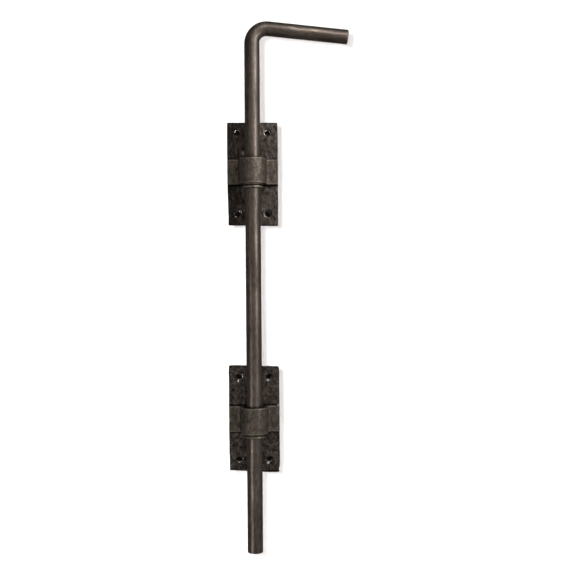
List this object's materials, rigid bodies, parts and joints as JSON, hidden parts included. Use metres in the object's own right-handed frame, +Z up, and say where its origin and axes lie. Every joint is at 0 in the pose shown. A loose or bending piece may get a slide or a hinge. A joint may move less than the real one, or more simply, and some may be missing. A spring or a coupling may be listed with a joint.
{
  "type": "cane bolt",
  "caption": "Surface-mounted cane bolt: an iron bar with a bent-over handle that slides and turns in two strap keepers on screw-on plates, to drop into a floor socket.",
  "frame": {"origin": "middle of the lower plate, on its back face, which lies on the door", "axes": "+Z up along the bar, -Y away from the door, +X towards the handle at rest"},
  "size_m": [0.1239, 0.0324, 0.5368],
  "materials": {
    "rod_iron": "oil-rubbed dark brown patina, smooth rolled bar",
    "plate_iron": "hammered, dark brown patina",
    "keeper_iron": "hammered strap, rubbed brown patina",
    "sleeve_bronze": "dark oiled bronze",
    "rivet_iron": "peened flush, dark brown patina"
  },
  "bodies": {
    "guides": {"lower_plate": "plate_iron", "lower_keeper": "keeper_iron", "upper_plate": "plate_iron", "upper_keeper": "keeper_iron", "lower_keeper_rivet_1": "rivet_iron", "lower_keeper_rivet_2": "rivet_iron", "lower_keeper_rivet_3": "rivet_iron", "lower_keeper_rivet_4": "rivet_iron", "upper_keeper_rivet_1": "rivet_iron", "upper_keeper_rivet_2": "rivet_iron", "upper_keeper_rivet_3": "rivet_iron", "upper_keeper_rivet_4": "rivet_iron"},
    "sleeves": {"lower_sleeve": "sleeve_bronze", "upper_sleeve": "sleeve_bronze"},
    "bar": {"cane_rod": "rod_iron"}
  },
  "joints": [
    {"name": "handle_turn", "type": "hinge", "parent": "guides", "child": "sleeves", "pos_m": [0, -0.0185, 0], "axis": [0, 0, -1], "range_deg": [0, 180]},
    {"name": "bar_lift", "type": "slide", "parent": "sleeves", "child": "bar", "axis": [0, 0, 1], "range_m": [-0.112, 0.1]}
  ]
}
